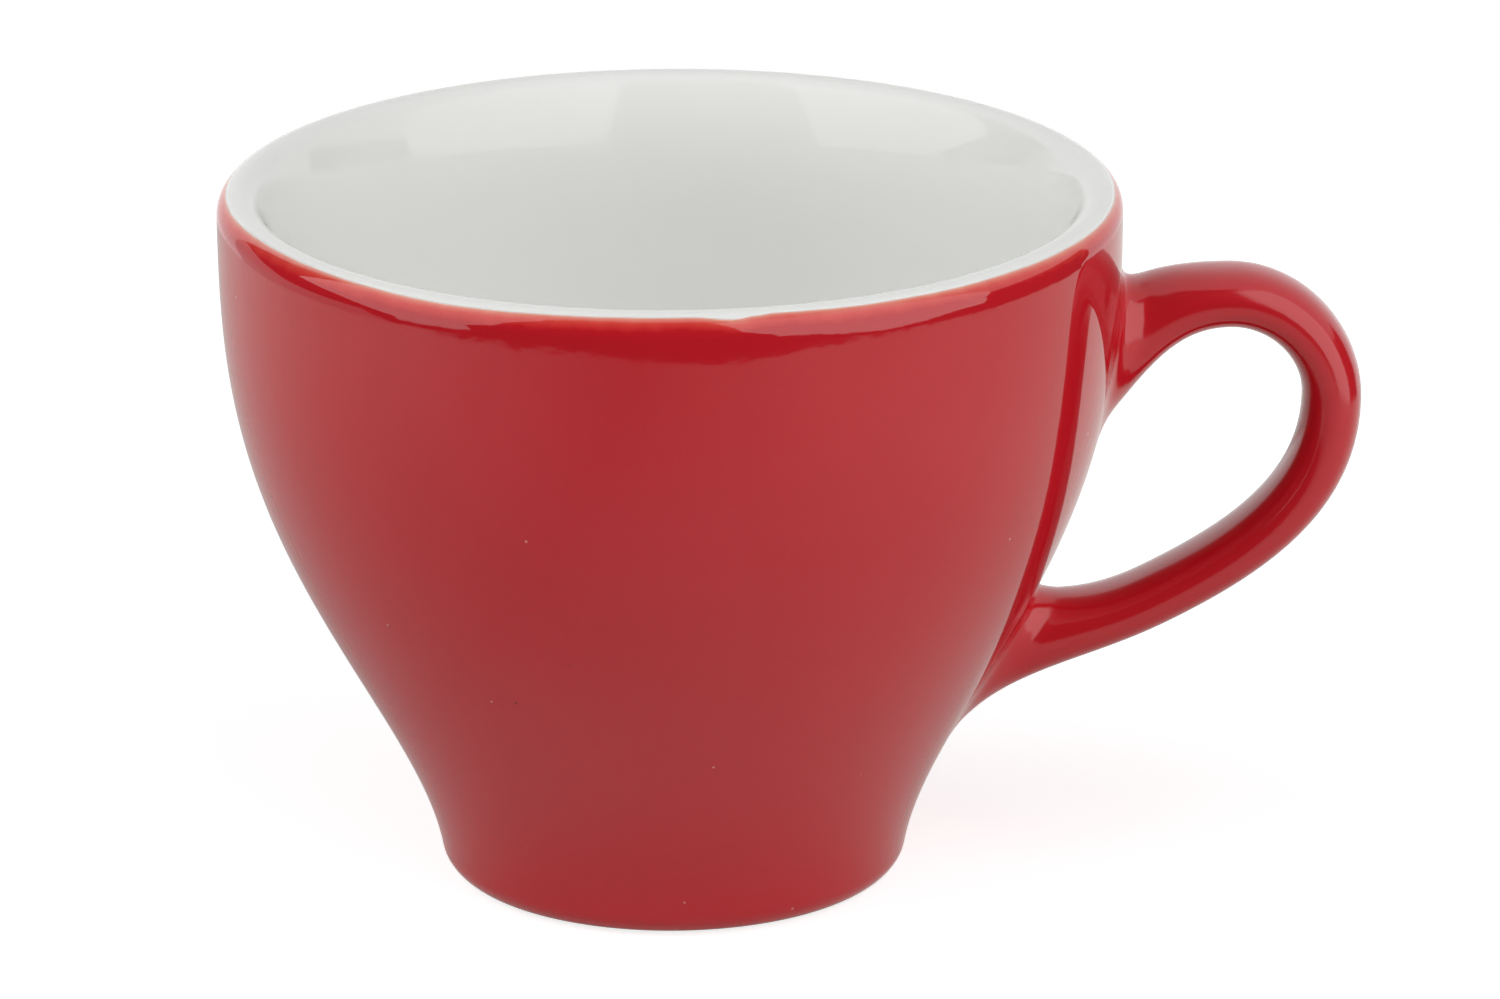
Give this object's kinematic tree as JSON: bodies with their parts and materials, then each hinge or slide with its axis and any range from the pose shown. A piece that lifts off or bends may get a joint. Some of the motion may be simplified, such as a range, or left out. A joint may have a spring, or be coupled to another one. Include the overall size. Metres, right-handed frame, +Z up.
{
  "type": "cappuccino cup",
  "caption": "Round porcelain coffee cup that widens from a small foot ring to a broad rounded lip, with a loop handle; red glaze outside, white glaze inside.",
  "frame": {"origin": "on the bowl's axis, in the plane of the foot ring that the cup stands on", "axes": "+Z up along the bowl's axis, +X towards the handle, +Y completing a right-handed frame"},
  "size_m": [0.1103, 0.087, 0.0688],
  "materials": {
    "porcelain": "bare fired porcelain, fine and matt",
    "red_glaze": "gloss red glaze",
    "white_glaze": "gloss white glaze"
  },
  "bodies": {
    "root": {"bowl": "porcelain", "foot_well_glaze": "white_glaze", "inner_glaze": "white_glaze", "outer_glaze": "red_glaze", "upper_handle_slip": "porcelain", "lower_handle_slip": "porcelain", "handle": "porcelain", "handle_glaze": "red_glaze"}
  },
  "joints": []
}
